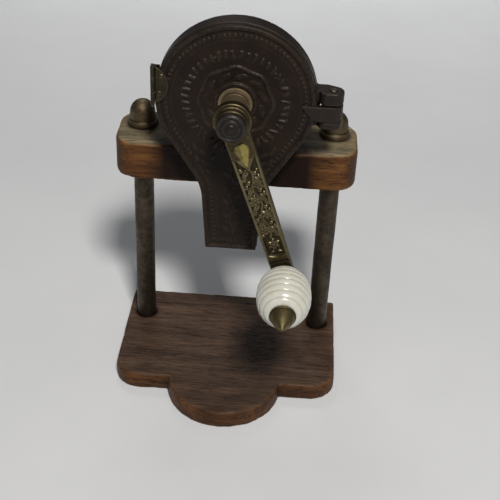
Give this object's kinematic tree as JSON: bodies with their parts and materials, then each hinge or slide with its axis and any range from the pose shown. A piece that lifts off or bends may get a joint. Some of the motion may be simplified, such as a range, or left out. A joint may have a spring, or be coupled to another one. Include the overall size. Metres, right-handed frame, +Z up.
{
  "type": "hand-cranked drum mill",
  "caption": "Small bench drum mill: keyhole iron case with a discharge chute and hinged cover, hand crank with a ribbed knob, on a two-pillar wooden stand with a lobed base.",
  "frame": {"origin": "on the base board's underside, midway between the two pillars' axes", "axes": "+Z up, out of the base; the cover, crank and chute face -Y; +X to the right of a person facing the cover, the hinge side"},
  "size_m": [0.0994, 0.0973, 0.1634],
  "materials": {
    "base_wood": "worn oil and wax finish, darkened on top",
    "rail_wood": "worn oil finish, dusty on top",
    "pillar_steel": "brown patinated steel rod",
    "nut_brass": "dark tarnished brass",
    "screw_steel": "dull steel",
    "case_iron": "worn dark brown japanned casting",
    "cover_iron": "worn dark brown japanned casting",
    "pin_steel": "worn bright steel",
    "grinder_steel": "hardened steel, grey",
    "bush_brass": "tarnished turned brass",
    "catch_brass": "handled sheet brass",
    "rivet_brass": "peened brass",
    "spindle_steel": "turned steel",
    "washer_brass": "sheet brass",
    "crank_brass": "cast brass, dark in the relief and bright on the edges",
    "cap_iron": "black japanned",
    "collar_brass": "turned brass",
    "knob_porcelain": "cream glaze, slightly worn"
  },
  "bodies": {
    "stand": {"base_board": "base_wood", "left_pillar": "pillar_steel", "right_pillar": "pillar_steel", "top_rail": "rail_wood", "left_cap_nut": "nut_brass", "right_cap_nut": "nut_brass", "base_screws": "screw_steel", "drum_case": "case_iron", "case_screws": "screw_steel", "hinge_pin": "pin_steel", "grinding_plate": "grinder_steel", "plate_screws": "screw_steel"},
    "cover": {"front_cover": "cover_iron", "bearing_bush": "bush_brass", "catch_plate": "catch_brass", "catch_rivets": "rivet_brass", "catch_pin": "pin_steel"},
    "catch": {"catch_leaf": "catch_brass"},
    "crank": {"spindle": "spindle_steel", "thrust_washer": "washer_brass", "grinding_rotor": "grinder_steel", "rotor_nut": "screw_steel", "crank_arm": "crank_brass", "crank_cap_nut": "cap_iron", "knob_pin": "pin_steel", "knob_collar": "collar_brass", "knob_finial": "collar_brass"},
    "knob": {"knob": "knob_porcelain"}
  },
  "joints": [
    {"name": "cover_hinge", "type": "hinge", "parent": "stand", "child": "cover", "pos_m": [0.0368, -0.0253, 0.1297], "axis": [0, 0, 1], "range_deg": [0, 95]},
    {"name": "catch_swing", "type": "hinge", "parent": "cover", "child": "catch", "pos_m": [-0.0312, -0.0307, 0.1381], "axis": [0, 0, 1], "range_deg": [0, 100]},
    {"name": "crank_spin", "type": "hinge", "parent": "cover", "child": "crank", "pos_m": [0, -0.0344, 0.1324], "axis": [0, 1, 0], "continuous": true},
    {"name": "knob_spin", "type": "hinge", "parent": "crank", "child": "knob", "pos_m": [0.0233, -0.0585, 0.0644], "axis": [0, 1, 0], "continuous": true}
  ]
}
